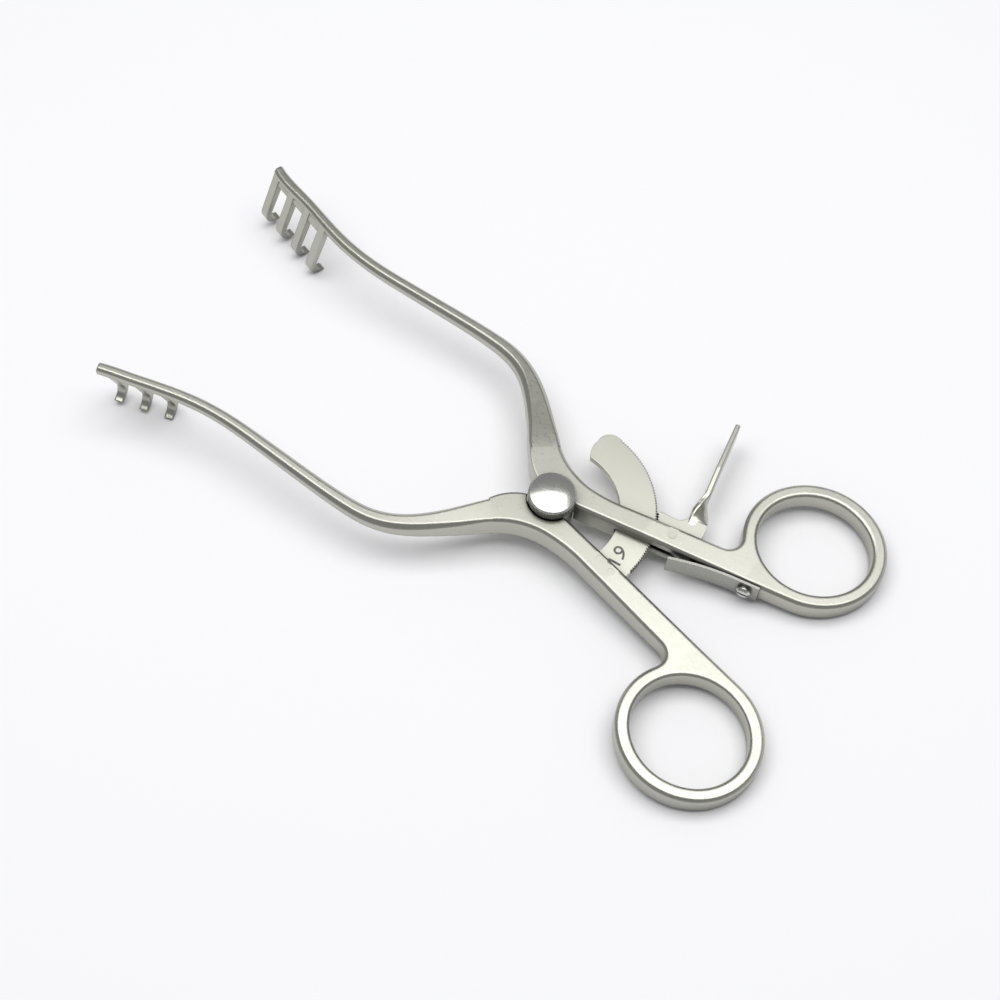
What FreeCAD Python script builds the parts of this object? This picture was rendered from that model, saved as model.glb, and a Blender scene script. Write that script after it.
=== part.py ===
import FreeCAD, Part
import Sketcher
import math
import os
from FreeCAD import Placement, Rotation, Vector

# Self retaining retractor: two forged arms in a lap joint, a screw, a ratchet bar,
# a release lever with its pin, and a leaf spring with its screw.
# Every sub-part is drawn with the joint axis on Z and the instrument lying level,
# prongs towards +X, the three prong arm on +Y.  The last step lays the whole
# instrument on a table, resting on the two finger rings and the prong bends.

os.makedirs("parts", exist_ok=True)
doc = FreeCAD.newDocument("retractor")

# Driving sizes, in millimetres and degrees.
sheet = doc.addObject("Spreadsheet::Sheet", "Sizes")
sizes = [
    ("arm_thick", 6.2, "thickness of the arms at the joint and shank"),
    ("ring_thick", 5.2, "thickness of the finger rings"),
    ("ring_wall", 3.1, "width of the ring metal seen from above"),
    ("ring_long", 12.5, "half length of the ring opening"),
    ("ring_wide", 11.8, "half width of the ring opening"),
    ("boss_rad", 5.0, "radius of the round lap of each arm"),
    ("lap_gap", 0.04, "gap between the two lap faces"),
    ("run_gap", 0.03, "running clearance on a radius"),
    ("shoulder_rad", 2.5, "radius of the screw shoulder"),
    ("thread_rad", 2.0, "radius of the screw thread"),
    ("head_rad", 5.1, "radius of the knurled head"),
    ("head_tall", 2.5, "height of the knurled rim"),
    ("bar_thick", 1.6, "thickness of the ratchet bar"),
    ("bar_out", 23.0, "outer radius of the ratchet bar, about the joint"),
    ("bar_in", 15.0, "inner radius of the ratchet bar"),
    ("tooth_step", 1.6, "angle from one ratchet tooth to the next"),
    ("tooth_deep", 0.45, "depth of a ratchet tooth"),
    ("tooth_span", 90.0, "angle that the ratchet teeth take up"),
    ("lever_thick", 1.5, "thickness of the release lever plate"),
    ("lever_pin_rad", 1.0, "radius of the lever pin"),
    ("prong_step", 6.1, "distance from one prong to the next"),
    ("prong_wide", 2.0, "width of a prong along the arm"),
    ("leaf_thick", 0.6, "thickness of the leaf spring"),
    ("leaf_tall", 5.2, "height of the leaf spring"),
    ("leaf_screw_rad", 1.0, "radius of the small screw"),
    ("rivet_rad", 0.8, "radius of the two rivets"),
]
for row, (alias, value, words) in enumerate(sizes, start=1):
    sheet.set("A%d" % row, words)
    sheet.set("B%d" % row, str(value))
    sheet.setAlias("B%d" % row, alias)
doc.recompute()

# How much rounder the ring is at its ends than at its sides.
OVAL_FLAT = 0.5
# Size of the second chamfer of a soft edge, as a part of the first.
BLEND_SHARE = 0.36


def size(alias):
    return float(sheet.get(alias))


def around(rad, degrees):
    # A point at a radius and an angle about the joint.
    return (rad * math.cos(math.radians(degrees)), rad * math.sin(math.radians(degrees)))


def origin_plane(body, role):
    for item in body.Origin.OriginFeatures:
        if item.Role == role:
            return item
    raise ValueError("no plane " + role)


def new_body(name):
    body = doc.addObject("PartDesign::Body", name)
    body.Label = name
    doc.recompute()
    return body


def new_sketch(body, name, role="XY_Plane", lift=None, place=None):
    sketch = body.newObject("Sketcher::SketchObject", name)
    sketch.AttachmentSupport = [(origin_plane(body, role), "")]
    sketch.MapMode = "FlatFace"
    if place is not None:
        sketch.AttachmentOffset = place
    if lift is not None:
        sketch.setExpression("AttachmentOffset.Base.z", lift)
    return sketch


def add_circle(sketch, x, y, rad, alias):
    index = sketch.addGeometry(Part.Circle(Vector(x, y, 0), Vector(0, 0, 1), rad))
    number = sketch.addConstraint(Sketcher.Constraint("Radius", index, rad))
    sketch.renameConstraint(number, "radius_%d" % index)
    sketch.setExpression("Constraints.radius_%d" % index, alias)
    return index


def add_path(sketch, path, last=None):
    # A path is a list of points; a point that follows the word "by" makes an arc
    # through it.  The path closes with a line to its first point, unless its last
    # point is given by itself, because an arc ends there.
    items = list(path) + [path[0] if last is None else last]
    start = Vector(*items[0], 0)
    index = 1
    while index < len(items):
        item = items[index]
        if item == "by":
            middle = Vector(*items[index + 1], 0)
            end = Vector(*items[index + 2], 0)
            sketch.addGeometry(Part.Arc(start, middle, end))
            index += 3
        else:
            end = Vector(*item, 0)
            sketch.addGeometry(Part.LineSegment(start, end))
            index += 1
        start = end


def add_closed(sketch, path, side):
    # A path that ends with an arc at its own first point, drawn on one side of the joint.
    placed = [item if item == "by" else (item[0], side * item[1]) for item in path]
    add_path(sketch, placed[:-1], placed[-1])


class Oval:
    # An oval of four arcs, two end arcs and two flatter side arcs that meet smoothly.
    # Its own places are (along, across), and spot() turns them into places in the plan.
    # The flatter arcs cross its shorter axis.
    def __init__(self, middle, axis, half_long, half_wide, extra):
        shorter = min(half_long, half_wide)
        small_rad = shorter - OVAL_FLAT
        reach = max(half_long, half_wide) - small_rad
        large_rad = (reach ** 2 + shorter ** 2 - small_rad ** 2) / (2.0 * OVAL_FLAT)
        end_rad, side_rad = small_rad, large_rad
        if half_wide > half_long:
            end_rad, side_rad = large_rad, small_rad
        self.middle = middle
        self.axis = axis
        self.across = Vector(-axis.y, axis.x, 0)
        self.shift = half_long - end_rad
        self.turn = math.atan2(abs(half_wide - side_rad), abs(self.shift))
        self.end_rad = end_rad + extra
        self.side_rad = side_rad + extra
        self.half_long = half_long + extra
        self.half_wide = half_wide + extra

    def spot(self, along, across):
        place = self.middle + self.axis * along + self.across * across
        return (place.x, place.y)

    def end_spot(self, turn, sign=1):
        reach = self.shift + self.end_rad * math.cos(turn)
        return self.spot(sign * reach, self.end_rad * math.sin(turn))

    def path_round(self, first):
        # From a turn on the front end arc, the far way round to the middle of the near side.
        return [
            "by", self.end_spot((first + self.turn) / 2), self.end_spot(self.turn),
            "by", self.spot(0, self.half_wide), self.end_spot(self.turn, -1),
            "by", self.end_spot(0, -1), self.end_spot(-self.turn, -1),
            "by", self.near_side(-0.5), self.spot(0, -self.half_wide)]

    def near_side(self, share):
        # A place on the near side arc, at a share of the way to its end.
        turn = share * (math.pi / 2 - self.turn)
        drop = self.side_rad * (1 - math.cos(turn))
        return self.spot(self.side_rad * math.sin(turn), -self.half_wide + drop)


def add_pad(body, name, sketch, length, back=False):
    pad = body.newObject("PartDesign::Pad", name)
    pad.Profile = sketch
    pad.Type = "Length"
    pad.setExpression("Length", length)
    pad.Reversed = back
    sketch.Visibility = False
    doc.recompute()
    return pad


def add_pocket(body, name, sketch, length, back=False):
    before = body.Shape.Volume
    pocket = body.newObject("PartDesign::Pocket", name)
    pocket.Profile = sketch
    pocket.Type = "Length"
    pocket.setExpression("Length", length)
    pocket.Reversed = back
    sketch.Visibility = False
    doc.recompute()
    if body.Shape.Volume > before - 1e-3:
        raise ValueError("pocket %s cuts nothing" % name)
    return pocket


def turned(base, along, up):
    # Placement whose local x is "along" and local y is "up".
    normal = along.cross(up)
    matrix = FreeCAD.Matrix(
        along.x, up.x, normal.x, base.x,
        along.y, up.y, normal.y, base.y,
        along.z, up.z, normal.z, base.z,
        0, 0, 0, 1)
    return Placement(matrix)


def eight_sided(sketch, wide, tall, corner, angle=0.0):
    # A rectangle with slanting corners about the sketch origin, drawn anticlockwise.
    half_w = wide / 2.0
    half_t = tall / 2.0
    cut = min(corner, half_w * 0.8, half_t * 0.8)
    points = [
        (half_w, half_t - cut), (half_w - cut, half_t),
        (-half_w + cut, half_t), (-half_w, half_t - cut),
        (-half_w, -half_t + cut), (-half_w + cut, -half_t),
        (half_w - cut, -half_t), (half_w, -half_t + cut)]
    cosine = math.cos(math.radians(angle))
    sine = math.sin(math.radians(angle))
    add_path(sketch, [(x * cosine - y * sine, x * sine + y * cosine) for x, y in points])


def add_loft(body, name, sketches, ruled=False):
    loft = body.newObject("PartDesign::AdditiveLoft", name)
    loft.Profile = sketches[0]
    loft.Sections = sketches[1:]
    loft.Ruled = ruled
    loft.Closed = False
    for sketch in sketches:
        sketch.Visibility = False
    doc.recompute()
    return loft


def edges_where(shape, test):
    names = []
    for number, edge in enumerate(shape.Edges, start=1):
        middle = edge.valueAt((edge.FirstParameter + edge.LastParameter) / 2.0)
        if test(edge, middle):
            names.append("Edge%d" % number)
    return names


def add_slope(body, name, base, test, slope):
    chamfer = body.newObject("PartDesign::Chamfer", name)
    chamfer.Base = (base, edges_where(base.Shape, test))
    chamfer.Size = slope
    doc.recompute()
    if "Invalid" in chamfer.State:
        raise ValueError("chamfer %s fails" % name)
    return chamfer


def add_soft_edge(body, name, base, test, slope):
    # A rounding of three flats: a chamfer, and a smaller one on both of its edges.
    first = add_slope(body, name + "_slope", base, test, slope)
    return add_slope(body, name + "_blend", first, test, slope * BLEND_SHARE)


# The two arms.
# Middle line of the slender part of an arm: x, y, width, thickness as a share of the
# thickness at the joint, direction in degrees, size of the slanting corner.
limb = [
    (8.55, 9.9, 5.7, 1.0, 48.0, 0.5),
    (12.4, 14.1, 4.95, 0.92, 47.0, 0.7),
    (16.3, 18.2, 4.35, 0.823, 45.0, 0.9),
    (20.7, 22.1, 3.95, 0.742, 37.5, 1.0),
    (24.7, 24.6, 3.75, 0.677, 26.0, 1.0),
    (29.2, 26.15, 3.5, 0.613, 12.0, 0.95),
    (35.0, 26.75, 3.25, 0.565, 1.0, 0.9),
    (46.0, 26.65, 3.0, 0.516, -1.8, 0.85),
    (58.0, 26.2, 2.85, 0.484, -1.6, 0.8),
    (67.0, 26.05, 2.7, 0.46, 1.5, 0.75),
    (74.5, 26.65, 2.6, 0.444, 8.5, 0.7),
    (82.5, 28.35, 2.5, 0.435, 15.0, 0.65),
    (91.5, 30.95, 2.4, 0.419, 16.5, 0.6),
    (100.2, 33.55, 2.3, 0.403, 16.5, 0.6),
]
TIP_TURN = math.radians(16.5)
# The inner line of the shank: its distance from the middle line at the joint, and its slope.
SHANK_START = 0.75
SHANK_RISE = 0.195
SHANK_TURN = math.atan(SHANK_RISE)
# The outer line of the shank: one place on it, and its slope.
SHANK_OUTER = (-12.3, 8.25)
OUTER_RISE = 0.2167
NOTCH_ROUND = 3.2
OUTER_SLOPE = 0.65
INNER_SLOPE = 0.5
THIN_FROM = -20.0
THIN_TO = -43.0
LAP_CLEAR = 0.25
ROOT_END = 6.5
# How much of the extra width of an arm's root each of the first sections gets.
ROOT_SHARE = [1.0, 1.0, 0.8, 0.4]


def half_thickness(x):
    # Half the thickness of the shank and ring at a place along the instrument.
    share = min(max((x - THIN_TO) / (THIN_FROM - THIN_TO), 0.0), 1.0)
    return (size("ring_thick") + share * (size("arm_thick") - size("ring_thick"))) / 2


def make_arm(name, side, prongs, first_prong, tip_reach, ring_x, root_extra):
    body = new_body(name)
    widths = [section[2] for section in limb]
    for number, share in enumerate(ROOT_SHARE):
        widths[number] += root_extra * share

    # Ring, shank and joint in one flat outline.  It is worked out for the +Y side.
    axis = Vector(math.cos(SHANK_TURN), -math.sin(SHANK_TURN), 0)
    tangent = Vector(ring_x, SHANK_START - SHANK_RISE * ring_x, 0)
    across = Vector(-axis.y, axis.x, 0)
    middle = tangent + across * (size("ring_wide") + size("ring_wall"))
    opening = Oval(middle, axis, size("ring_long"), size("ring_wide"), 0.0)
    band = Oval(middle, axis, size("ring_long"), size("ring_wide"), size("ring_wall"))

    # A round notch that touches the outer line of the shank and the ring.
    outer_turn = math.atan(OUTER_RISE)
    outer_axis = Vector(-math.cos(outer_turn), math.sin(outer_turn), 0)
    outer_normal = Vector(math.sin(outer_turn), math.cos(outer_turn), 0)
    outer_start = Vector(SHANK_OUTER[0], SHANK_OUTER[1], 0)
    end_middle = Vector(*band.spot(band.shift, 0), 0)
    rise = (end_middle - outer_start).dot(outer_normal)
    run = math.sqrt((band.end_rad + NOTCH_ROUND) ** 2 - (rise - NOTCH_ROUND) ** 2)
    notch_start = outer_start + outer_axis * ((end_middle - outer_start).dot(outer_axis) - run)
    notch_middle = notch_start + outer_normal * NOTCH_ROUND
    to_ring = (end_middle - notch_middle).normalize()
    notch_end = notch_middle + to_ring * NOTCH_ROUND
    notch_deep = notch_middle + (to_ring - outer_normal).normalize() * NOTCH_ROUND
    from_ring = to_ring * -1
    first_turn = math.atan2(from_ring.dot(across), from_ring.dot(axis))

    x0, y0, _, _, turn0, _ = limb[0]
    normal = (-math.sin(math.radians(turn0)), math.cos(math.radians(turn0)))
    cut_outer = (x0 + normal[0] * widths[0] / 2, y0 + normal[1] * widths[0] / 2)
    cut_inner = (x0 - normal[0] * widths[0] / 2, y0 - normal[1] * widths[0] / 2)
    outline = [
        band.spot(0, -band.half_wide),
        (-6.0, SHANK_START + SHANK_RISE * 6.0),
        (3.6, 1.7),
        "by", (8.0, 4.25), cut_inner,
        cut_outer,
        "by", (1.2, 8.75 + root_extra * 0.4), (-4.8, 7.65),
        "by", (-8.6, 7.75), SHANK_OUTER,
        (notch_start.x, notch_start.y),
        "by", (notch_deep.x, notch_deep.y), (notch_end.x, notch_end.y),
    ] + band.path_round(first_turn)
    shank = new_sketch(body, name + "_outline", lift="-Sizes.arm_thick / 2")
    add_closed(shank, outline, side)
    add_closed(shank, [
        opening.end_spot(-opening.turn),
        "by", opening.end_spot(0), opening.end_spot(opening.turn),
        "by", opening.spot(0, opening.half_wide), opening.end_spot(opening.turn, -1),
        "by", opening.end_spot(0, -1), opening.end_spot(-opening.turn, -1),
        "by", opening.spot(0, -opening.half_wide), opening.end_spot(-opening.turn),
    ], side)
    add_pad(body, name + "_flat", shank, "Sizes.arm_thick")

    # The shank thins down to the ring, on both faces.
    thin = new_sketch(body, name + "_thinning", role="XZ_Plane", lift="60")
    high = size("arm_thick") / 2
    low = size("ring_thick") / 2
    beyond = band.spot(-band.half_long, 0)[0] - 3.0
    for sign in (1, -1):
        add_path(thin, [
            (THIN_FROM, sign * high), (THIN_FROM, sign * (high + 1)), (beyond, sign * (high + 1)),
            (beyond, sign * low), (THIN_TO, sign * low)])
    add_pocket(body, name + "_thinned", thin, "120")

    # Soft edges all round the ring, its opening and the shank.
    def rim_edge(edge, mid, slope):
        ends = [vertex.Point for vertex in edge.Vertexes]
        if len(ends) != 2 or abs(ends[0].z - ends[1].z) > 0.6 or edge.Length < 0.9:
            return False
        if abs(ends[0].x - ends[1].x) < 0.05 and abs(ends[0].y - ends[1].y) > 0.3 and mid.x > THIN_TO - 0.1:
            return False
        return mid.x < ROOT_END and abs(mid.z) > half_thickness(mid.x) - slope - 0.03

    def in_opening(mid):
        # Inside an ellipse that runs along the middle of the ring's metal.
        place = Vector(mid.x, side * mid.y, 0) - middle
        half_wall = size("ring_wall") / 2
        long_share = place.dot(axis) / (size("ring_long") + half_wall)
        wide_share = place.dot(across) / (size("ring_wide") + half_wall)
        return math.hypot(long_share, wide_share) < 1.0

    def outer_edge(edge, mid):
        inner_root = mid.x > -6.1 and side * mid.y < 3.0
        return rim_edge(edge, mid, OUTER_SLOPE) and not in_opening(mid) and not inner_root

    def opening_edge(edge, mid):
        return rim_edge(edge, mid, INNER_SLOPE) and in_opening(mid)

    inside = add_soft_edge(body, name + "_opening", body.Tip, opening_edge, INNER_SLOPE)
    add_slope(body, name + "_outside", inside, outer_edge, OUTER_SLOPE)

    # The slender part, through eight-sided sections.
    sections = []
    for number, (x, y, _, share, turn, corner) in enumerate(limb):
        turn = math.radians(turn)
        if number == len(limb) - 1:
            x += tip_reach * math.cos(TIP_TURN)
            y += tip_reach * math.sin(TIP_TURN)
        along = Vector(-math.sin(turn), side * math.cos(turn), 0)
        place = turned(Vector(x, side * y, 0), along, Vector(0, 0, 1))
        section = new_sketch(body, "%s_section_%d" % (name, number), place=place)
        eight_sided(section, widths[number], share * size("arm_thick"), corner)
        sections.append(section)
        end = Vector(x, side * y, 0)
    doc.recompute()
    add_loft(body, name + "_limb", sections)

    # Prongs: one side view, pushed along the arm and repeated.
    along = Vector(math.cos(TIP_TURN), side * math.sin(TIP_TURN), 0)
    towards = Vector(math.sin(TIP_TURN), -side * math.cos(TIP_TURN), 0)
    root = turned(end - along * first_prong, towards, Vector(0, 0, 1))
    normal_back = towards.cross(Vector(0, 0, 1)).dot(along) < 0
    web_root = turned(end - along * (first_prong + 0.3), towards, Vector(0, 0, 1))
    web = new_sketch(body, name + "_web_outline", place=web_root)
    add_path(web, [
        (0.8, 0.3), (1.78, -2.2), (0.5, -2.75), (-0.2, -0.8), (-0.2, 0.3)])
    add_pad(body, name + "_web", web, "Sizes.prong_step * %d + Sizes.prong_wide - 0.6" % (prongs - 1),
            back=not normal_back)
    prong = new_sketch(body, name + "_prong_outline", place=root)
    add_path(prong, [
        (1.05, 0.4),
        (5.15, -10.4),
        "by", (5.0, -13.1), (1.7, -14.75),
        (1.5, -14.45),
        "by", (3.65, -12.75), (3.6, -10.7),
        (-0.55, -0.9),
        (-0.3, 0.4),
    ])
    prong_pad = add_pad(body, name + "_prong", prong, "Sizes.prong_wide", back=not normal_back)
    pattern = body.newObject("PartDesign::LinearPattern", name + "_prongs")
    pattern.Originals = [prong_pad]
    pattern.Direction = (prong, ["N_Axis"])
    pattern.Reversed = not normal_back
    pattern.setExpression("Length", "Sizes.prong_step * %d" % (prongs - 1))
    pattern.Occurrences = prongs
    body.Tip = pattern
    doc.recompute()

    # Lap joint: each arm keeps one half of the thickness about the axis.
    half = "Sizes.arm_thick / 2"
    if side < 0:
        relief = new_sketch(body, name + "_lap_relief", lift="Sizes.lap_gap / 2")
        add_circle(relief, 0, 0, size("boss_rad") + LAP_CLEAR, "Sizes.boss_rad + %s" % LAP_CLEAR)
        add_pocket(body, name + "_lap", relief, "Sizes.arm_thick")
        boss = new_sketch(body, name + "_boss_outline", lift="Sizes.lap_gap / 2")
    else:
        relief = new_sketch(body, name + "_lap_relief", lift="-Sizes.lap_gap / 2")
        add_circle(relief, 0, 0, size("boss_rad") + LAP_CLEAR, "Sizes.boss_rad + %s" % LAP_CLEAR)
        add_pocket(body, name + "_lap", relief, "Sizes.arm_thick", back=True)
        boss = new_sketch(body, name + "_boss_outline", lift="-" + half)
    add_circle(boss, 0, 0, size("boss_rad"), "Sizes.boss_rad")
    add_pad(body, name + "_boss", boss, half + " - Sizes.lap_gap / 2")
    return body


arm_four = make_arm("four_prong_arm", -1, 4, 0.05, 2.4, -53.6, 1.0)
arm_three = make_arm("three_prong_arm", 1, 3, 1.4, -1.9, -55.7, 0.0)

# Hole for the screw shoulder in the upper lap, threaded hole in the lower one.
hole = new_sketch(arm_four, "shoulder_hole", lift="Sizes.arm_thick / 2 + 1")
add_circle(hole, 0, 0, size("shoulder_rad") + size("run_gap"), "Sizes.shoulder_rad + Sizes.run_gap")
add_pocket(arm_four, "shoulder_bore", hole, "Sizes.arm_thick + 2")
hole = new_sketch(arm_three, "thread_hole", lift="Sizes.arm_thick / 2 + 1")
add_circle(hole, 0, 0, size("thread_rad") + size("run_gap"), "Sizes.thread_rad + Sizes.run_gap")
add_pocket(arm_three, "thread_bore", hole, "Sizes.arm_thick + 2")

# The lever pin stands PIN_INSIDE from the inner line of the shank, and PIN_BEYOND
# outside the ratchet bar.
PIN_INSIDE = 3.236
PIN_BEYOND = 3.725
pin_rad = size("bar_out") + PIN_BEYOND
pin_start = SHANK_START + PIN_INSIDE
square = 1.0 + SHANK_RISE ** 2
half_step = SHANK_RISE * pin_start
pin_x = (-half_step + math.sqrt(half_step ** 2 - square * (pin_start ** 2 - pin_rad ** 2))) / square
pin_at = (-pin_x, -(pin_start + SHANK_RISE * pin_x))


def by_pin(x, y):
    # A place given from the lever pin.
    return (pin_at[0] + x, pin_at[1] + y)


# Slot through the shank of the four prong arm for the bar and the lever.
SLOT_GAP = 0.06
SLOT_BEYOND = 8.4
plate_thick = "max(Sizes.bar_thick; Sizes.lever_thick)"
slot = new_sketch(arm_four, "slot_outline", lift="%s / 2 + %s" % (plate_thick, SLOT_GAP))
slot_rad = size("bar_in") - 0.2
slot_end = pin_at[0] - SLOT_BEYOND
add_path(slot, [
    around(slot_rad, 184.0),
    "by", around(slot_rad, 204.0), around(slot_rad, 224.0),
    around(slot_rad + 5.3, 224.2),
    (slot_end, pin_at[1] - 9.1),
    (slot_end, pin_at[1] - 3.6),
    "by", (slot_end - 0.7, pin_at[1] - 0.1), (slot_end, pin_at[1] + 3.4),
    (slot_end, pin_at[1] + 5.9)])
add_pocket(arm_four, "slot", slot, "%s + 2 * %s" % (plate_thick, SLOT_GAP))
hole = new_sketch(arm_four, "lever_pin_hole", lift="Sizes.arm_thick / 2 + 1")
add_circle(hole, pin_at[0], pin_at[1], size("lever_pin_rad"), "Sizes.lever_pin_rad")
add_pocket(arm_four, "lever_pin_bore", hole, "Sizes.arm_thick + 2")

# Seat of the small screw in the inner side of the same shank.
LEAF_REACH = 18.7
face_along = Vector(math.cos(SHANK_TURN), math.sin(SHANK_TURN), 0)
face_out = Vector(-face_along.y, face_along.x, 0)
screw_x = pin_at[0] - LEAF_REACH
screw_at = Vector(screw_x, SHANK_RISE * screw_x - SHANK_START, 0)
seat = new_sketch(arm_four, "leaf_screw_hole",
                  place=turned(screw_at + face_out * 2.0, face_along, Vector(0, 0, 1)))
add_circle(seat, 0, 0, size("leaf_screw_rad"), "Sizes.leaf_screw_rad")
normal = face_along.cross(Vector(0, 0, 1))
add_pocket(arm_four, "leaf_screw_bore", seat, "5.6", back=normal.dot(face_out) < 0)

# Slot for the root of the bar in the other shank, and the two rivet holes.
root_slot = new_sketch(arm_three, "root_slot_outline", lift="Sizes.bar_thick / 2")
in_rad = size("bar_in")
out_rad = size("bar_out")
add_path(root_slot, [
    (2.4 - in_rad, 1.0),
    (-1.8 - out_rad, 3.5),
    (-1.0 - out_rad, 8.5),
    (-0.2 - in_rad, 6.9)])
add_pocket(arm_three, "root_slot", root_slot, "Sizes.bar_thick")
rivet_turn = math.radians(161.5)
rivets_at = []
for rad in (in_rad + 2.2, out_rad - 2.0):
    rivets_at.append((rad * math.cos(rivet_turn), rad * math.sin(rivet_turn)))
holes = new_sketch(arm_three, "rivet_holes", lift="Sizes.arm_thick / 2 + 1")
for x, y in rivets_at:
    add_circle(holes, x, y, size("rivet_rad"), "Sizes.rivet_rad")
add_pocket(arm_three, "rivet_bores", holes, "Sizes.arm_thick + 2")

# Ratchet bar.
# FIRST_TOOTH is the place of the tooth nearest the free end, in degrees about the joint.
# TOOTH_SHARE is the part of a step that one tooth takes up.
FIRST_TOOTH = 262.0
TOOTH_SHARE = 0.94
bar = new_body("ratchet_bar")
band = new_sketch(bar, "bar_outline", lift="-Sizes.bar_thick / 2")
add_path(band, [
    around(in_rad, 163.0),
    "by", around(in_rad, 215.0), around(in_rad, 269.5),
    "by", around(in_rad + 2.0, 273.2), around((in_rad + out_rad) / 2 + 0.3, 272.8),
    "by", around(out_rad - 0.7, 269.6), around(out_rad, 264.0),
    "by", around(out_rad, 215.0), around(out_rad, 163.5),
    around(out_rad - 0.8, 160.0),
    around(in_rad + 0.8, 158.5),
])
add_pad(bar, "bar_band", band, "Sizes.bar_thick")
notch = new_sketch(bar, "tooth_outline", lift="Sizes.bar_thick / 2 + 0.1")
step = size("tooth_step")
add_path(notch, [
    around(out_rad - size("tooth_deep"), FIRST_TOOTH),
    around(out_rad + 0.2, FIRST_TOOTH),
    around(out_rad + 0.2, FIRST_TOOTH - step * TOOTH_SHARE),
    around(out_rad - 0.005, FIRST_TOOTH - step * TOOTH_SHARE),
])
first = add_pocket(bar, "tooth", notch, "Sizes.bar_thick + 0.2")
teeth = bar.newObject("PartDesign::PolarPattern", "teeth")
teeth.Originals = [first]
teeth.Axis = (notch, ["N_Axis"])
teeth.Reversed = True
tooth_count = "floor(Sizes.tooth_span / Sizes.tooth_step)"
teeth.setExpression("Angle", "Sizes.tooth_step * (%s - 1)" % tooth_count)
teeth.setExpression("Occurrences", tooth_count)
bar.Tip = teeth
doc.recompute()
holes = new_sketch(bar, "bar_rivet_holes", lift="Sizes.bar_thick")
for x, y in rivets_at:
    add_circle(holes, x, y, size("rivet_rad"), "Sizes.rivet_rad")
add_pocket(bar, "bar_rivet_bores", holes, "Sizes.bar_thick * 2")

# Release lever.
# The pawl teeth stand clear of the tooth crests by PAWL_GAP.  The first of them is
# PAWL_ALONG from the pin, along the edge of the bar.
PAWL_ALONG = 3.0
PAWL_COUNT = 4
PAWL_DEEP = 0.4
PAWL_GAP = 0.07
lever = new_body("release_lever")
plate = new_sketch(lever, "lever_outline", lift="-Sizes.lever_thick / 2")
rest_rad = out_rad + PAWL_GAP
pawl_start = math.degrees(math.atan2(pin_at[1], pin_at[0]) + PAWL_ALONG / rest_rad)
pawl_end = pawl_start + step * PAWL_COUNT
pawl_teeth = []
for number in range(PAWL_COUNT):
    pawl_teeth.append(around(rest_rad + PAWL_DEEP, pawl_start + step * number))
    pawl_teeth.append(around(rest_rad, pawl_start + step * (number + TOOTH_SHARE)))
add_path(plate, pawl_teeth + [
    around(rest_rad + 0.25, pawl_end + 0.3),
    "by", around(rest_rad + 0.78, pawl_end + 0.16), around(rest_rad + 1.73, pawl_end - 0.73),
    by_pin(2.6, -4.7),
    "by", by_pin(0.85, -5.2), by_pin(-0.15, -6.7),
    by_pin(-4.35, -7.55),
    "by", by_pin(-5.15, -4.1), by_pin(-4.8, -0.4),
    "by", by_pin(-5.15, 0.9), by_pin(-5.9, 2.0),
    "by", by_pin(-6.0, 3.0), by_pin(-5.05, 3.15),
    by_pin(-1.4, 2.15),
    "by", by_pin(0.6, 2.2), by_pin(2.1, 1.05),
    by_pin(3.2, -0.4),
])
add_pad(lever, "lever_plate", plate, "Sizes.lever_thick")
# Thumb blade: place from the pin, width, thickness as a share of the plate, twist.
BLADE_CORNER = 0.25
blade = [
    (-2.55, -5.7, 3.9, 0.96, 0.0),
    (-2.1, -7.7, 4.2, 1.0, 16.0),
    (-1.55, -9.5, 4.6, 0.967, 46.0),
    (-1.1, -11.1, 5.0, 0.933, 70.0),
    (-0.55, -13.1, 5.4, 0.867, 90.0),
    (1.1, -20.1, 6.0, 0.8, 90.0),
    (3.65, -31.9, 5.6, 0.733, 90.0),
]
sections = []
lean = Vector(0.2, -0.98, 0).normalize()
for number, (x, y, wide, share, twist) in enumerate(blade):
    place = turned(Vector(*by_pin(x, y), 0), Vector(-lean.y, lean.x, 0), Vector(0, 0, 1))
    section = new_sketch(lever, "blade_section_%d" % number, place=place)
    eight_sided(section, wide, share * size("lever_thick"), BLADE_CORNER, twist)
    sections.append(section)
doc.recompute()
add_loft(lever, "thumb_blade", sections, ruled=True)
hole = new_sketch(lever, "lever_hole", lift="Sizes.lever_thick")
add_circle(hole, pin_at[0], pin_at[1], size("lever_pin_rad") + size("run_gap"),
           "Sizes.lever_pin_rad + Sizes.run_gap")
add_pocket(lever, "lever_bore", hole, "Sizes.lever_thick * 2")

# Joint screw.
screw = new_body("joint_screw")
side_view = new_sketch(screw, "screw_side", role="XZ_Plane")
foot = -size("arm_thick") / 2 + 0.1
top = size("arm_thick") / 2 + size("run_gap")
head = size("head_rad")
crown = top + size("head_tall")
shoulder = size("shoulder_rad")
thread = size("thread_rad")
shoulder_end = size("lap_gap") / 2 + 0.02
dome_wide = head - 0.25
dome_tall = 1.0
dome_rad = (dome_wide ** 2 + dome_tall ** 2) / (2 * dome_tall)
dome_middle = crown + dome_tall - dome_rad
dome_half = dome_wide * 0.55
add_path(side_view, [
    (0.0, foot),
    (thread - 0.35, foot),
    (thread, foot + 0.35),
    (thread, shoulder_end),
    (shoulder, shoulder_end),
    (shoulder, top),
    (head - 0.3, top),
    (head, top + 0.3),
    (head, crown - 0.25),
    (dome_wide, crown),
    "by", (dome_half, dome_middle + math.sqrt(dome_rad ** 2 - dome_half ** 2)), (0.0, crown + dome_tall),
])
turning = screw.newObject("PartDesign::Revolution", "screw_turned")
turning.Profile = side_view
turning.ReferenceAxis = (side_view, ["V_Axis"])
turning.Angle = 360.0
side_view.Visibility = False
doc.recompute()

# Leaf spring.
leaf = new_body("leaf_spring")


def on_face(along_face, off_face):
    point = screw_at + face_along * along_face + face_out * off_face
    return (point.x, point.y)


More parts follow.
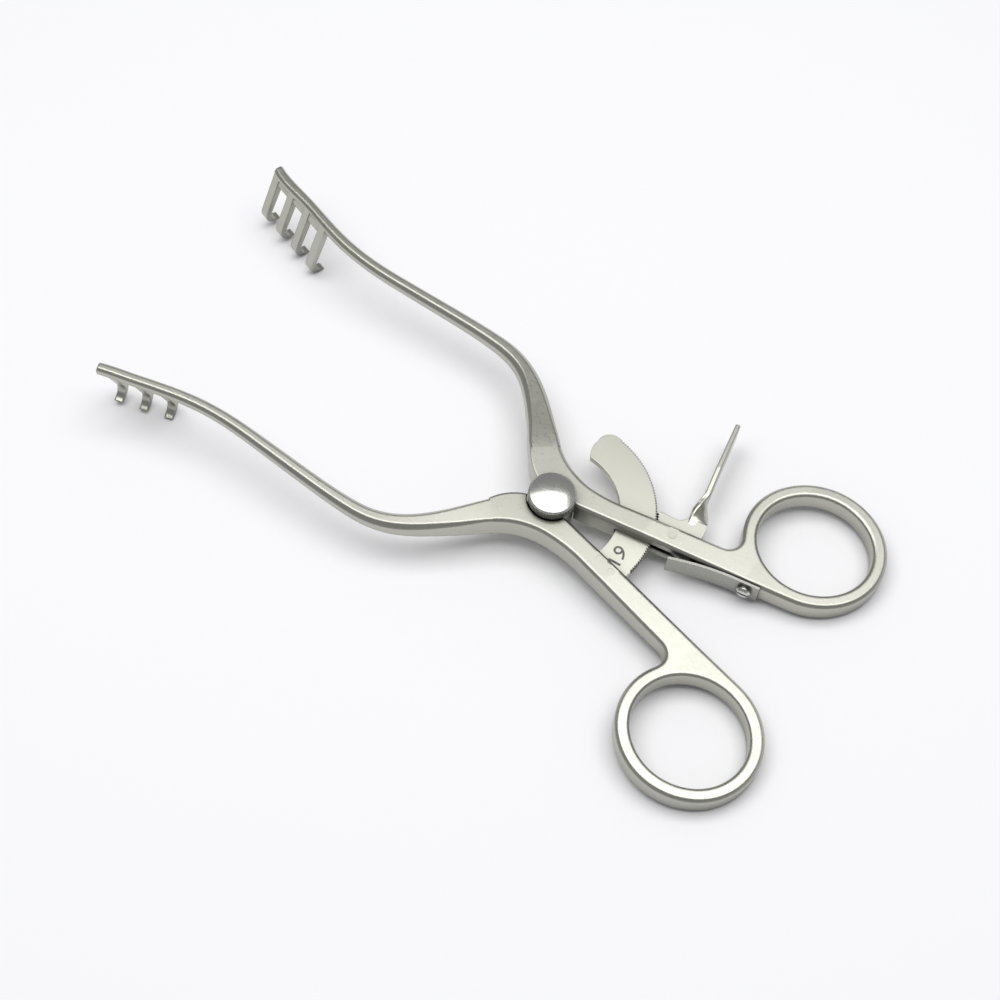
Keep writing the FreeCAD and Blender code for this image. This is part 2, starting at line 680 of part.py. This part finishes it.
strip = new_sketch(leaf, "leaf_outline", lift="-Sizes.leaf_tall / 2")
thick = size("leaf_thick")
add_path(strip, [
    on_face(-3.0, 0.0),
    on_face(2.2, 0.0),
    "by", on_face(8.3, 0.33), on_face(13.6, 1.12),
    "by", on_face(15.6, 1.5), on_face(17.4, 1.95),
    on_face(17.2, 1.95 + thick * 0.9),
    "by", on_face(15.4, 1.5 + thick), on_face(13.5, 1.12 + thick),
    "by", on_face(8.2, 0.33 + thick), on_face(2.2, thick),
    on_face(-3.0, thick),
])
add_pad(leaf, "leaf_strip", strip, "Sizes.leaf_tall")
hole = new_sketch(leaf, "leaf_hole",
                  place=turned(screw_at + face_out * 2.0, face_along, Vector(0, 0, 1)))
add_circle(hole, 0, 0, size("leaf_screw_rad"), "Sizes.leaf_screw_rad")
add_pocket(leaf, "leaf_bore", hole, "4", back=normal.dot(face_out) < 0)

# Small screw that holds the leaf spring.
small = new_body("spring_screw")
side_view = new_sketch(small, "small_screw_side", role="XZ_Plane")
under = thick
shaft = size("leaf_screw_rad")
add_path(side_view, [
    (0.0, -3.4),
    (shaft - 0.3, -3.4),
    (shaft, -3.0),
    (shaft, under),
    (shaft + 0.65, under),
    (shaft + 0.65, under + 0.7),
    (shaft + 0.2, under + 1.2),
    (0.0, under + 1.3),
])
turning = small.newObject("PartDesign::Revolution", "small_screw_turned")
turning.Profile = side_view
turning.ReferenceAxis = (side_view, ["V_Axis"])
turning.Angle = 360.0
side_view.Visibility = False
doc.recompute()
drive = new_sketch(small, "screw_slot_outline", lift="Sizes.leaf_thick + 2")
drive_half = shaft + 1.2
add_path(drive, [(-drive_half, -0.25), (drive_half, -0.25), (drive_half, 0.25), (-drive_half, 0.25)])
add_pocket(small, "screw_slot", drive, "1.35")

# Lever pin and the two rivets.
pin = doc.addObject("Part::Cylinder", "lever_pin")
pin.setExpression("Radius", "Sizes.lever_pin_rad")
pin.setExpression("Height", "Sizes.arm_thick - 0.1")
pin_foot = -size("arm_thick") / 2 + 0.05
rivet_parts = []
for number in range(len(rivets_at)):
    rivet = doc.addObject("Part::Cylinder", "rivet_%d" % (number + 1))
    rivet.setExpression("Radius", "Sizes.rivet_rad")
    rivet.setExpression("Height", "Sizes.arm_thick - 0.1")
    x, y = rivets_at[number]
    rivet.Placement = Placement(Vector(x, y, pin_foot), Rotation())
    rivet_parts.append(rivet)
rivets = doc.addObject("Part::Compound", "ratchet_rivets")
rivets.Links = rivet_parts
doc.recompute()

# The finished instrument laid on the table.
pin_place = Placement(Vector(pin_at[0], pin_at[1], pin_foot), Rotation())
screw_place = turned(screw_at, face_along, Vector(0, 0, -1))
level = {
    "four_prong_arm": (arm_four, Placement()),
    "three_prong_arm": (arm_three, Placement()),
    "joint_screw": (screw, Placement()),
    "ratchet_bar": (bar, Placement()),
    "ratchet_rivets": (rivets, Placement()),
    "release_lever": (lever, Placement()),
    "lever_pin": (pin, pin_place),
    "leaf_spring": (leaf, Placement()),
    "spring_screw": (small, screw_place),
}


def lowest(points, test):
    chosen = [point for point in points if test(point)]
    return min(chosen, key=lambda point: point.z)


def rest_turn():
    # The lean at which the finger rings and the prong bends touch the table.
    angle = 4.2
    for _ in range(3):
        turn = Placement(Vector(), Rotation(Vector(0, 1, 0), -angle))
        points = []
        for item in (arm_four, arm_three):
            shape = item.Shape.copy()
            shape.Placement = turn
            points.extend(shape.tessellate(0.05)[0])
        front = lowest(points, lambda point: point.x > 30)
        back = lowest(points, lambda point: point.x < -30)
        angle += math.degrees(math.atan2(back.z - front.z, front.x - back.x))
    return angle


lean_angle = rest_turn()
print("lean", round(lean_angle, 3))
lean_turn = Placement(Vector(), Rotation(Vector(0, 1, 0), -lean_angle))
box = FreeCAD.BoundBox()
for name, (item, place) in level.items():
    shape = item.Shape.copy()
    shape.Placement = lean_turn.multiply(place)
    box.add(shape.optimalBoundingBox(False))
middle_x = (box.XMin + box.XMax) / 2
middle_y = (box.YMin + box.YMax) / 2
shift = Placement(Vector(-middle_x, -middle_y, -box.ZMin), Rotation())
print("shift", [round(value, 4) for value in shift.Base])
print("box", round(box.XLength, 2), round(box.YLength, 2), round(box.ZLength, 2))
lay = shift.multiply(lean_turn)
for name, (item, place) in level.items():
    item.Placement = lay.multiply(place)
    item.Label = name
doc.recompute()

for thing in doc.Objects:
    if "Invalid" in thing.State or "Error" in thing.State:
        raise ValueError("bad object %s %s" % (thing.Name, thing.State))
for name, (item, place) in level.items():
    shape = item.Shape
    if shape.isNull() or not shape.isValid():
        raise ValueError("bad shape " + name)
    if name != "ratchet_rivets" and len(shape.Solids) != 1:
        raise ValueError("%s has %d solids" % (name, len(shape.Solids)))
    shape.exportStep("parts/%s.step" % name)
    count = len(shape.tessellate(0.05)[1])
    print(name, "volume", round(shape.Volume, 2), "solids", len(shape.Solids), "facets", count)
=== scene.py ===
import math

import bmesh
import bpy
from mathutils import Matrix, Vector


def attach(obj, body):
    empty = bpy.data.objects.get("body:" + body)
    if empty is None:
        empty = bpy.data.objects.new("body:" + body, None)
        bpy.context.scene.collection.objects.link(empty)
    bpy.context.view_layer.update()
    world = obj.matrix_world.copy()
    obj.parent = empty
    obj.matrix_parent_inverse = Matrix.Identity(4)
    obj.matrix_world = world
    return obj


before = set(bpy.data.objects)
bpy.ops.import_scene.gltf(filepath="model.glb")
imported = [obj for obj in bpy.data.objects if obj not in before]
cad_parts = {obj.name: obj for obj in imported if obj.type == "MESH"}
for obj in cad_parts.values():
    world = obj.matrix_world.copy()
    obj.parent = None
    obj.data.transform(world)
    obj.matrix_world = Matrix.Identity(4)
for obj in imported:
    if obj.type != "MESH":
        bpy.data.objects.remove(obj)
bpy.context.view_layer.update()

MM = 0.001

# The instrument leans on its rings and prong bends.  Small details are placed in its
# own level frame, with the joint axis on Z, and then laid down with this matrix.
LEAN = math.radians(4.603)
JOINT_PLACE = Vector((-18.1248, -0.1241, 8.0307)) * MM
LAY_DOWN = Matrix.Translation(JOINT_PLACE) @ Matrix.Rotation(-LEAN, 4, "Y")


# Camera, placed as for the photograph: a long lens that looks down at 58 degrees.
CAMERA_PLACE = Vector((-142.94, 189.51, 369.66)) * MM
CAMERA_HEADING = math.radians(-53.931)
CAMERA_DOWN = math.radians(57.732)
CAMERA_ROLL = math.radians(-0.173)
FOCAL_IN_PIXELS = 1991.5
PICTURE_WIDTH = 1000
SENSOR_WIDTH = 36.0
CLIP_START = 0.01


def set_camera():
    lens = bpy.data.cameras.new("studio_camera")
    lens.sensor_width = SENSOR_WIDTH
    lens.lens = FOCAL_IN_PIXELS * SENSOR_WIDTH / PICTURE_WIDTH
    lens.clip_start = CLIP_START
    camera = bpy.data.objects.new("studio_camera", lens)
    bpy.context.scene.collection.objects.link(camera)
    forward = Vector((
        math.cos(CAMERA_DOWN) * math.cos(CAMERA_HEADING),
        math.cos(CAMERA_DOWN) * math.sin(CAMERA_HEADING),
        -math.sin(CAMERA_DOWN)))
    right = forward.cross(Vector((0, 0, 1))).normalized()
    up = right.cross(forward)
    rolled_right = right * math.cos(CAMERA_ROLL) + up * math.sin(CAMERA_ROLL)
    rolled_up = up * math.cos(CAMERA_ROLL) - right * math.sin(CAMERA_ROLL)
    turn = Matrix((rolled_right, rolled_up, -forward)).transposed()
    camera.matrix_world = Matrix.Translation(CAMERA_PLACE) @ turn.to_4x4()
    bpy.context.scene.camera = camera


set_camera()
bpy.context.scene.view_settings.view_transform = "Standard"


# Studio: a white table in a dim room, under one wide softbox hung level over the
# instrument.
TABLE_HALF = 0.7
PAPER_COLOR = (0.95, 0.95, 0.96, 1.0)
PAPER_ROUGHNESS = 0.8
PAPER_SPECULAR = 0.15
ROOM_GREY = (0.33, 0.33, 0.34, 1.0)
SOFTBOX_HEIGHT = 0.9
SOFTBOX_FAR = 0.40
SOFTBOX_NEAR = 0.30
SOFTBOX_WIDE = 1.3
SOFTBOX_POWER = 7.9


def white_table():
    mesh = bmesh.new()
    bmesh.ops.create_grid(mesh, x_segments=1, y_segments=1, size=TABLE_HALF)
    data = bpy.data.meshes.new("table_top")
    mesh.to_mesh(data)
    mesh.free()
    table = bpy.data.objects.new("table_top", data)
    bpy.context.scene.collection.objects.link(table)
    paper = bpy.data.materials.new("white_paper")
    paper.use_nodes = True
    shader = paper.node_tree.nodes["Principled BSDF"]
    shader.inputs["Base Color"].default_value = PAPER_COLOR
    shader.inputs["Roughness"].default_value = PAPER_ROUGHNESS
    shader.inputs["Specular IOR Level"].default_value = PAPER_SPECULAR
    data.materials.append(paper)


def room_light():
    world = bpy.data.worlds.new("dim_room")
    bpy.context.scene.world = world
    world.use_nodes = True
    background = world.node_tree.nodes["Background"]
    background.inputs["Color"].default_value = ROOM_GREY
    background.inputs["Strength"].default_value = 1.0


def softbox():
    # The far edge of the lamp lies beyond the instrument as the camera sees it.
    away = Vector((math.cos(CAMERA_HEADING), math.sin(CAMERA_HEADING), 0))
    lamp = bpy.data.lights.new("softbox", "AREA")
    lamp.shape = "RECTANGLE"
    lamp.size = SOFTBOX_WIDE
    lamp.size_y = SOFTBOX_FAR + SOFTBOX_NEAR
    lamp.energy = SOFTBOX_POWER
    item = bpy.data.objects.new("softbox", lamp)
    bpy.context.scene.collection.objects.link(item)
    middle = away * (SOFTBOX_FAR - SOFTBOX_NEAR) / 2 + Vector((0, 0, SOFTBOX_HEIGHT))
    item.matrix_world = Matrix.Translation(middle) @ Matrix.Rotation(CAMERA_HEADING - math.pi / 2, 4, "Z")


white_table()
room_light()
softbox()


# Flush pins: the two rivets of the bar and the pin of the lever, in level millimetres.
# They are ground flush, so the steel has no softened edge around them.
RIVET_TURN = math.radians(161.5)
RIVET_REACHES = [17.2, 21.0]
PIN_PLACE = (-25.2, -8.9)
BORE_REACH = 1.7
FLUSH_PINS = [(reach * math.cos(RIVET_TURN), reach * math.sin(RIVET_TURN)) for reach in RIVET_REACHES]
FLUSH_PINS.append(PIN_PLACE)


def away_from_bores(nodes, links, place, edge_radius):
    # The edge radius, or nothing within reach of a flush pin.
    to_level = LAY_DOWN.inverted()
    level = nodes.new("ShaderNodeMapping")
    level.inputs["Location"].default_value = to_level.translation
    level.inputs["Rotation"].default_value = to_level.to_euler()
    links.new(place.outputs["Object"], level.inputs["Vector"])
    plan = nodes.new("ShaderNodeVectorMath")
    plan.operation = "MULTIPLY"
    plan.inputs[1].default_value = (1.0, 1.0, 0.0)
    links.new(level.outputs["Vector"], plan.inputs[0])
    radius = None
    for x, y in FLUSH_PINS:
        reach = nodes.new("ShaderNodeVectorMath")
        reach.operation = "DISTANCE"
        reach.inputs[1].default_value = (x * MM, y * MM, 0.0)
        links.new(plan.outputs["Vector"], reach.inputs[0])
        outside = nodes.new("ShaderNodeMath")
        outside.operation = "GREATER_THAN"
        outside.inputs[1].default_value = BORE_REACH * MM
        links.new(reach.outputs["Value"], outside.inputs[0])
        share = nodes.new("ShaderNodeMath")
        share.operation = "MULTIPLY"
        share.inputs[1].default_value = edge_radius
        links.new(outside.outputs["Value"], share.inputs[0])
        if radius:
            links.new(radius, share.inputs[1])
        radius = share.outputs["Value"]
    return radius


# Steel is darker low down and in corners, where a real room gives it little light.
SHADE_REACH = 5.0
SHADE_SAMPLES = 8
SHADE_FULL = 0.35
SHADE_NONE = 0.92
SHADE_DARKEST = 0.28


def shaded_creases(nodes, links, color):
    creases = nodes.new("ShaderNodeAmbientOcclusion")
    creases.samples = SHADE_SAMPLES
    creases.inputs["Distance"].default_value = SHADE_REACH * MM
    depth = nodes.new("ShaderNodeMapRange")
    depth.inputs["From Min"].default_value = SHADE_FULL
    depth.inputs["From Max"].default_value = SHADE_NONE
    depth.inputs["To Min"].default_value = SHADE_DARKEST
    links.new(creases.outputs["AO"], depth.inputs["Value"])
    shaded = nodes.new("ShaderNodeVectorMath")
    shaded.operation = "SCALE"
    links.new(color, shaded.inputs[0])
    links.new(depth.outputs["Result"], shaded.inputs["Scale"])
    return shaded.outputs["Vector"]


# Brushed steel: fine grain drawn out along X, with faint clouds in its colour.
GRAIN_STRETCH = (0.25, 1.0, 1.0)
GRAIN_DETAIL = 4.0
GRAIN_ROUGHNESS = 0.6
GRAIN_STRENGTH = 0.12
CLOUD_SCALE = 90.0
CLOUD_SHADE = 0.96
NOISE_LOW = 0.3
NOISE_HIGH = 0.7
SHEEN_SMOOTHER = 0.04
SHEEN_ROUGHER = 0.05
EDGE_SAMPLES = 8


def two_tone(nodes, links, value, low, low_color, high, high_color):
    tint = nodes.new("ShaderNodeValToRGB")
    tint.color_ramp.elements[0].position = low
    tint.color_ramp.elements[0].color = (*low_color, 1.0)
    tint.color_ramp.elements[1].position = high
    tint.color_ramp.elements[1].color = (*high_color, 1.0)
    links.new(value, tint.inputs["Fac"])
    return tint.outputs["Color"]


def brushed_steel(name, color, roughness, grain_scale, grain_depth, edge_radius, bores=False):
    steel = bpy.data.materials.new(name)
    steel.use_nodes = True
    nodes = steel.node_tree.nodes
    links = steel.node_tree.links
    shader = nodes["Principled BSDF"]
    shader.inputs["Metallic"].default_value = 1.0
    place = nodes.new("ShaderNodeTexCoord")

    stretch = nodes.new("ShaderNodeMapping")
    stretch.inputs["Scale"].default_value = GRAIN_STRETCH
    links.new(place.outputs["Object"], stretch.inputs["Vector"])
    grain = nodes.new("ShaderNodeTexNoise")
    grain.inputs["Scale"].default_value = grain_scale
    grain.inputs["Detail"].default_value = GRAIN_DETAIL
    grain.inputs["Roughness"].default_value = GRAIN_ROUGHNESS
    links.new(stretch.outputs["Vector"], grain.inputs["Vector"])

    cloud = nodes.new("ShaderNodeTexNoise")
    cloud.inputs["Scale"].default_value = CLOUD_SCALE
    cloud.inputs["Detail"].default_value = 2.0
    links.new(place.outputs["Object"], cloud.inputs["Vector"])
    dull = [value * CLOUD_SHADE for value in color]
    tint = two_tone(nodes, links, cloud.outputs["Fac"], NOISE_LOW, dull, NOISE_HIGH, color)
    links.new(shaded_creases(nodes, links, tint), shader.inputs["Base Color"])

    sheen = nodes.new("ShaderNodeMapRange")
    sheen.inputs["From Min"].default_value = NOISE_LOW
    sheen.inputs["From Max"].default_value = NOISE_HIGH
    sheen.inputs["To Min"].default_value = roughness - SHEEN_SMOOTHER
    sheen.inputs["To Max"].default_value = roughness + SHEEN_ROUGHER
    links.new(grain.outputs["Fac"], sheen.inputs["Value"])
    links.new(sheen.outputs["Result"], shader.inputs["Roughness"])

    edge = nodes.new("ShaderNodeBevel")
    edge.samples = EDGE_SAMPLES
    edge.inputs["Radius"].default_value = edge_radius
    if bores:
        links.new(away_from_bores(nodes, links, place, edge_radius), edge.inputs["Radius"])
    bump = nodes.new("ShaderNodeBump")
    bump.inputs["Strength"].default_value = GRAIN_STRENGTH
    bump.inputs["Distance"].default_value = grain_depth
    links.new(grain.outputs["Fac"], bump.inputs["Height"])
    links.new(edge.outputs["Normal"], bump.inputs["Normal"])
    links.new(bump.outputs["Normal"], shader.inputs["Normal"])
    return steel


# The floor of a stamped mark, laid as a flat sheet: its dark colour is painted shade of the recess, with
# spots worn lighter.
GROOVE_SHADE_DARK = (0.06, 0.06, 0.055)
GROOVE_SHADE_WORN = (0.2, 0.2, 0.185)
GROOVE_SHADE_DARK_BELOW = 0.35
GROOVE_SHADE_WORN_ABOVE = 0.75
GROOVE_SPOTS = 2500.0


def painted_shade_groove(name):
    groove = bpy.data.materials.new(name)
    groove.use_nodes = True
    nodes = groove.node_tree.nodes
    links = groove.node_tree.links
    shader = nodes["Principled BSDF"]
    shader.inputs["Metallic"].default_value = 0.6
    shader.inputs["Roughness"].default_value = 0.55
    place = nodes.new("ShaderNodeTexCoord")
    shade_spots = nodes.new("ShaderNodeTexNoise")
    shade_spots.inputs["Scale"].default_value = GROOVE_SPOTS
    links.new(place.outputs["Object"], shade_spots.inputs["Vector"])
    tint = two_tone(
        nodes, links, shade_spots.outputs["Fac"], GROOVE_SHADE_DARK_BELOW, GROOVE_SHADE_DARK, GROOVE_SHADE_WORN_ABOVE, GROOVE_SHADE_WORN)
    links.new(tint, shader.inputs["Base Color"])
    return groove


# Finishes: colour, roughness, scale and depth of the grain, and radius of the edges.
ARM_COLOR = (0.47, 0.47, 0.415)
PLATE_COLOR = (0.56, 0.56, 0.49)
SCREW_COLOR = (0.60, 0.60, 0.56)
# Painted shade: the knurl is the screw steel made darker for the shade in its grooves.
KNURL_PAINTED_SHADE = (0.30, 0.30, 0.28)
# Painted shade: the leaf spring is the steel made darker for the shade on its upright face.
SPRING_PAINTED_SHADE = (0.34, 0.34, 0.31)
satin_arm = brushed_steel("satin_arm_steel", ARM_COLOR, 0.30, 2600.0, 0.03 * MM, 0.6 * MM, bores=True)
satin_plate = brushed_steel("satin_plate_steel", PLATE_COLOR, 0.32, 3200.0, 0.03 * MM, 0.15 * MM)
bright_screw = brushed_steel("bright_screw_steel", SCREW_COLOR, 0.24, 3000.0, 0.02 * MM, 0.2 * MM)
# The knurl finish is a darker copy of the screw steel, with painted shade in its colour.
painted_shade_knurl_steel = brushed_steel("painted_shade_knurl_steel", KNURL_PAINTED_SHADE, 0.26, 3000.0, 0.02 * MM, 0.04 * MM)
# The leaf spring finish is a darker copy of the steel, with painted shade in its colour.
spring_steel = brushed_steel("spring_steel", SPRING_PAINTED_SHADE, 0.28, 3000.0, 0.02 * MM, 0.08 * MM)
# The stamped mark's finish is painted shade, dark where the recess would be shaded.
painted_shade_mark = painted_shade_groove("stamped_mark_painted_shade")

node_finish = {
    "four_prong_arm": satin_arm,
    "three_prong_arm": satin_arm,
    "ratchet_bar": satin_plate,
    "ratchet_rivets": satin_arm,
    "release_lever": satin_plate,
    "lever_pin": satin_arm,
    "joint_screw": bright_screw,
    "leaf_spring": spring_steel,
    "spring_screw": bright_screw,
}
for name, finish in node_finish.items():
    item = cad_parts[name]
    item.data.materials.clear()
    item.data.materials.append(finish)


def add_piece(name, mesh, finish, body):
    # A bmesh in level millimetres is laid down on the table and becomes a piece.
    bmesh.ops.scale(mesh, vec=(MM, MM, MM), verts=mesh.verts)
    bmesh.ops.transform(mesh, matrix=LAY_DOWN, verts=mesh.verts)
    data = bpy.data.meshes.new(name)
    mesh.to_mesh(data)
    mesh.free()
    data.materials.append(finish)
    piece = bpy.data.objects.new(name, data)
    bpy.context.scene.collection.objects.link(piece)
    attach(piece, body)


# Knurled rim of the joint screw: a ring of rounded ridges over the plain head, in a darker copy of the
# screw steel that paints the shade of its grooves.
HEAD_RADIUS = 5.1
HEAD_FOOT = 3.13
HEAD_CROWN = 5.63
RIM_LOW = HEAD_FOOT + 0.28
RIM_HIGH = HEAD_CROWN - 0.2
KNURL_COUNT = 68
KNURL_SINK = 0.02
KNURL_DEEP = 0.13
KNURL_STEPS = 6


def screw_knurl():
    knurl = bmesh.new()
    bmesh.ops.create_cone(
        knurl, cap_ends=True, segments=KNURL_COUNT * KNURL_STEPS,
        radius1=HEAD_RADIUS, radius2=HEAD_RADIUS, depth=RIM_HIGH - RIM_LOW)
    for vertex in knurl.verts:
        turn = math.atan2(vertex.co.y, vertex.co.x)
        ridge = 0.5 + 0.5 * math.cos(turn * KNURL_COUNT)
        reach = HEAD_RADIUS - KNURL_SINK + KNURL_DEEP * ridge
        vertex.co.x = reach * math.cos(turn)
        vertex.co.y = reach * math.sin(turn)
    bmesh.ops.translate(knurl, vec=(0, 0, (RIM_LOW + RIM_HIGH) / 2), verts=knurl.verts)
    add_piece("screw_knurl", knurl, painted_shade_knurl_steel, "joint_screw")


screw_knurl()


# Size mark stamped in the ratchet bar: a plain numeral and the line under it, as flat sheets in painted
# shade.
BAR_TOP = 0.8
MARK_LIFT = 0.006
NUMERAL = "9"
NUMERAL_TALL = 3.5
NUMERAL_MIDDLE = Vector((-18.5, 0.55, BAR_TOP + MARK_LIFT))
NUMERAL_TURN = math.radians(246.0)
LINE_LONG = 2.9
LINE_WIDE = 0.55
LINE_MIDDLE = Vector((-18.75, 3.1, BAR_TOP + MARK_LIFT))
LINE_TURN = math.radians(186.0)


def text_mesh(words, tall):
    curve = bpy.data.curves.new("numeral", "FONT")
    curve.body = words
    curve.align_x = "CENTER"
    curve.align_y = "CENTER"
    curve.resolution_u = 6
    holder = bpy.data.objects.new("numeral", curve)
    bpy.context.scene.collection.objects.link(holder)
    bpy.context.view_layer.update()
    data = bpy.data.meshes.new_from_object(holder)
    mesh = bmesh.new()
    mesh.from_mesh(data)
    bpy.data.objects.remove(holder)
    bpy.data.curves.remove(curve)
    bpy.data.meshes.remove(data)
    low = min(vertex.co.y for vertex in mesh.verts)
    high = max(vertex.co.y for vertex in mesh.verts)
    factor = tall / (high - low)
    bmesh.ops.translate(mesh, vec=(0, -(low + high) / 2, 0), verts=mesh.verts)
    bmesh.ops.scale(mesh, vec=(factor, factor, factor), verts=mesh.verts)
    return mesh


def stamp_mark(name, mesh, middle, angle):
    place = Matrix.Translation(middle) @ Matrix.Rotation(angle, 4, "Z")
    bmesh.ops.transform(mesh, matrix=place, verts=mesh.verts)
    add_piece(name, mesh, painted_shade_mark, "three_prong_arm")


def plain_line():
    line = bmesh.new()
    bmesh.ops.create_grid(line, x_segments=1, y_segments=1, size=0.5)
    bmesh.ops.scale(line, vec=(LINE_LONG, LINE_WIDE, 1.0), verts=line.verts)
    return line


stamp_mark("bar_numeral", text_mesh(NUMERAL, NUMERAL_TALL), NUMERAL_MIDDLE, NUMERAL_TURN)
stamp_mark("bar_numeral_line", plain_line(), LINE_MIDDLE, LINE_TURN)
